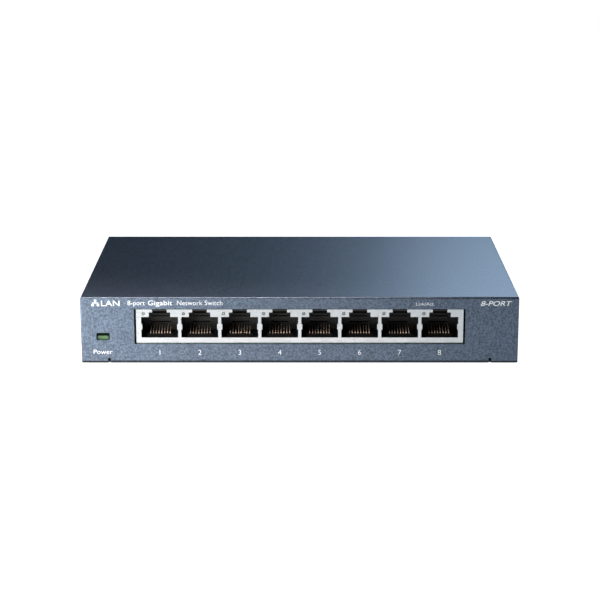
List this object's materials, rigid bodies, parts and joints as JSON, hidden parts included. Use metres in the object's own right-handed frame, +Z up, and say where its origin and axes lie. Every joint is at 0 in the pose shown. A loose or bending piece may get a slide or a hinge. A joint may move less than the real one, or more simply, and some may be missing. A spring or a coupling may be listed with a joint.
{
  "type": "desktop network switch",
  "caption": "Flat desktop network switch in a folded steel case with a row of shielded modular jacks along the front, status lamps, feet and a coaxial power inlet.",
  "frame": {"origin": "on the desk under the middle of the case, at the undersides of the feet", "axes": "+Z up, the port side faces -Y, +X to the right as seen from the port side"},
  "size_m": [0.158, 0.101, 0.0254],
  "materials": {
    "case_paint": "fine metallic fleck, satin",
    "shield_steel": "tin-plated, bright satin",
    "steel": "zinc-plated, satin",
    "heat_sink_aluminium": "satin",
    "can_aluminium": "satin",
    "foot_rubber": "matt",
    "label_film": "matt, blank",
    "board_laminate": "solder mask, semi-gloss",
    "black_plastic": "moulded, matt",
    "chip_plastic": "moulded, matt",
    "contact_gold": "gold-plated spring wire",
    "terminal_tin": "tin-plated",
    "light_pipe_clear": "clear with a green tint",
    "lamp_lens_green": "translucent green",
    "lamp_body": "clear over a pale chip",
    "thermal_silicone": "soft, matt",
    "ceramic_chip": "matt",
    "ferrite": "matt"
  },
  "bodies": {
    "chassis": {"base_plate": "case_paint", "cover_screws": "steel", "foot_front_left": "foot_rubber", "foot_front_right": "foot_rubber", "foot_rear_left": "foot_rubber", "foot_rear_right": "foot_rubber", "blank_label": "label_film", "board_standoffs": "steel", "board_screws": "steel", "circuit_board": "board_laminate", "jack_housing": "black_plastic", "jack_shield": "shield_steel", "contact_inserts": "black_plastic", "contact_tails": "contact_gold", "port_1_light_pipe": "light_pipe_clear", "port_2_light_pipe": "light_pipe_clear", "port_3_light_pipe": "light_pipe_clear", "port_4_light_pipe": "light_pipe_clear", "port_5_light_pipe": "light_pipe_clear", "port_6_light_pipe": "light_pipe_clear", "port_7_light_pipe": "light_pipe_clear", "port_8_light_pipe": "light_pipe_clear", "port_lamps": "lamp_body", "power_lamp": "lamp_body", "power_lamp_lens": "lamp_lens_green", "switch_chip": "chip_plastic", "thermal_pad": "thermal_silicone", "heat_sink": "heat_sink_aluminium", "magnetics_1": "chip_plastic", "magnetics_2": "chip_plastic", "magnetics_3": "chip_plastic", "magnetics_4": "chip_plastic", "crystal": "can_aluminium", "flash_chip": "chip_plastic", "voltage_regulator": "chip_plastic", "power_inductor": "ferrite", "capacitor_1": "can_aluminium", "capacitor_2": "can_aluminium", "capacitor_3": "can_aluminium", "input_fuse": "chip_plastic", "input_diode": "chip_plastic", "chip_capacitors": "ceramic_chip", "chip_resistors": "chip_plastic", "inlet_body": "black_plastic", "inlet_pin": "contact_gold", "inlet_terminals": "terminal_tin"},
    "cover": {"top_cover": "case_paint"},
    "port_1_wires": {"port_1_contacts": "contact_gold"},
    "port_2_wires": {"port_2_contacts": "contact_gold"},
    "port_3_wires": {"port_3_contacts": "contact_gold"},
    "port_4_wires": {"port_4_contacts": "contact_gold"},
    "port_5_wires": {"port_5_contacts": "contact_gold"},
    "port_6_wires": {"port_6_contacts": "contact_gold"},
    "port_7_wires": {"port_7_contacts": "contact_gold"},
    "port_8_wires": {"port_8_contacts": "contact_gold"},
    "inlet_leaf": {"inlet_spring": "contact_gold"}
  },
  "joints": [
    {"name": "cover_lift", "type": "slide", "parent": "chassis", "child": "cover", "axis": [0, 0, 1], "range_m": [0, 0.06]},
    {"name": "port_1_contact_spring", "type": "hinge", "parent": "chassis", "child": "port_1_wires", "pos_m": [-0.05058, -0.0462, 0.01105], "axis": [-1, 0, 0], "range_deg": [0, 12], "stiffness_Nm_per_rad": 0.05},
    {"name": "port_2_contact_spring", "type": "hinge", "parent": "chassis", "child": "port_2_wires", "pos_m": [-0.03612, -0.0462, 0.01105], "axis": [-1, 0, 0], "range_deg": [0, 12], "stiffness_Nm_per_rad": 0.05},
    {"name": "port_3_contact_spring", "type": "hinge", "parent": "chassis", "child": "port_3_wires", "pos_m": [-0.02167, -0.0462, 0.01105], "axis": [-1, 0, 0], "range_deg": [0, 12], "stiffness_Nm_per_rad": 0.05},
    {"name": "port_4_contact_spring", "type": "hinge", "parent": "chassis", "child": "port_4_wires", "pos_m": [-0.00722, -0.0462, 0.01105], "axis": [-1, 0, 0], "range_deg": [0, 12], "stiffness_Nm_per_rad": 0.05},
    {"name": "port_5_contact_spring", "type": "hinge", "parent": "chassis", "child": "port_5_wires", "pos_m": [0.00722, -0.0462, 0.01105], "axis": [-1, 0, 0], "range_deg": [0, 12], "stiffness_Nm_per_rad": 0.05},
    {"name": "port_6_contact_spring", "type": "hinge", "parent": "chassis", "child": "port_6_wires", "pos_m": [0.02167, -0.0462, 0.01105], "axis": [-1, 0, 0], "range_deg": [0, 12], "stiffness_Nm_per_rad": 0.05},
    {"name": "port_7_contact_spring", "type": "hinge", "parent": "chassis", "child": "port_7_wires", "pos_m": [0.03612, -0.0462, 0.01105], "axis": [-1, 0, 0], "range_deg": [0, 12], "stiffness_Nm_per_rad": 0.05},
    {"name": "port_8_contact_spring", "type": "hinge", "parent": "chassis", "child": "port_8_wires", "pos_m": [0.05058, -0.0462, 0.01105], "axis": [-1, 0, 0], "range_deg": [0, 12], "stiffness_Nm_per_rad": 0.05},
    {"name": "inlet_leaf_spring", "type": "hinge", "parent": "chassis", "child": "inlet_leaf", "pos_m": [0.06, 0.04005, 0.01075], "axis": [-1, 0, 0], "range_deg": [0, 4], "stiffness_Nm_per_rad": 0.05}
  ]
}
